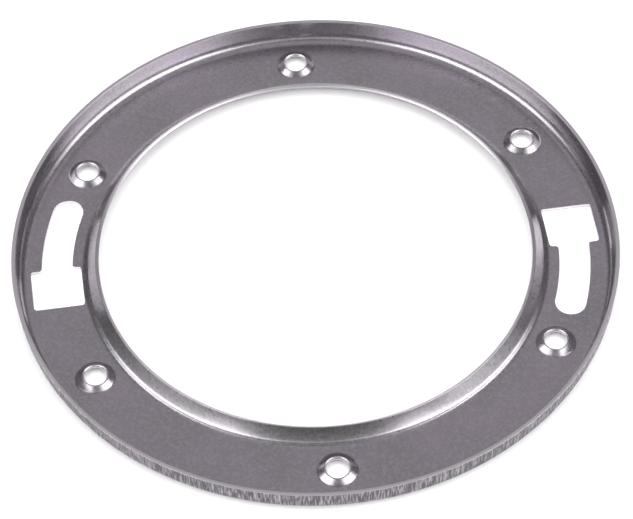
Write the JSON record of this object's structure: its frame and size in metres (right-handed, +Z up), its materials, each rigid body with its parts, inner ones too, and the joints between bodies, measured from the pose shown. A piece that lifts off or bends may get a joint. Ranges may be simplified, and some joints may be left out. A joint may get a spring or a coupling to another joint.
{
  "type": "toilet flange ring",
  "caption": "Stamped stainless closet flange ring with a turned-up rim and lip, dimpled screw holes and keyhole slots for closet bolts.",
  "frame": {"origin": "centre of the ring, on the plane of its flat bottom face", "axes": "+Z up, the side that the rim, lip and dimples stand up on; +X midway between two screw holes, with the first keyhole's bolt entry 3.4 degrees round from it towards +Y"},
  "size_m": [0.1778, 0.1778, 0.0082],
  "materials": {
    "stainless": "satin cold-rolled stainless sheet with pressed bends and sheared edges"
  },
  "bodies": {
    "root": {"flange_ring": "stainless"}
  },
  "joints": []
}
